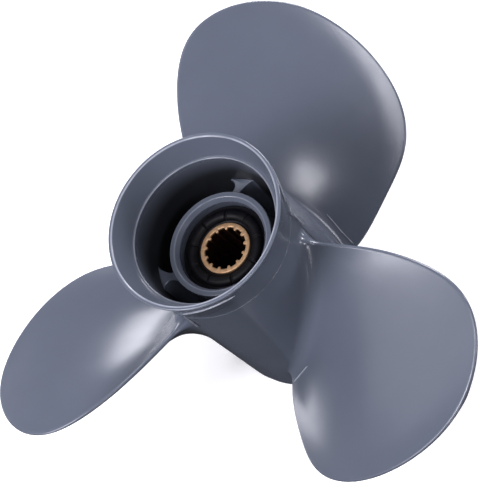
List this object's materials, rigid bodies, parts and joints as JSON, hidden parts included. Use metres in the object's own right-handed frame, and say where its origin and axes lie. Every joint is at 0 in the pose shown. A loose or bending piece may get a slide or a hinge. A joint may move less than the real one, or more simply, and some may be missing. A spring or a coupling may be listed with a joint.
{
  "type": "outboard motor propeller",
  "caption": "Right-hand boat propeller with wide rounded blades on a flared exhaust barrel, and a rubber-mounted splined bronze sleeve in its centre.",
  "frame": {"origin": "on the shaft axis, in the plane of the barrel's front end", "axes": "+Z along the shaft axis, aft, towards the flared mouth; +Y through the middle of rib_1, with the root of blade_1 2.3 degrees clockwise of it"},
  "size_m": [0.2578, 0.2394, 0.134],
  "materials": {
    "slate_enamel": "satin",
    "black_rubber": "satin",
    "sleeve_bronze": "satin"
  },
  "bodies": {
    "root": {"barrel": "slate_enamel", "flared_mouth": "slate_enamel", "inner_tube": "slate_enamel", "rib_1": "slate_enamel", "rib_2": "slate_enamel", "rib_3": "slate_enamel", "blade_1": "slate_enamel", "blade_2": "slate_enamel", "blade_3": "slate_enamel", "rubber_bushing": "black_rubber", "spline_sleeve": "sleeve_bronze"}
  },
  "joints": []
}
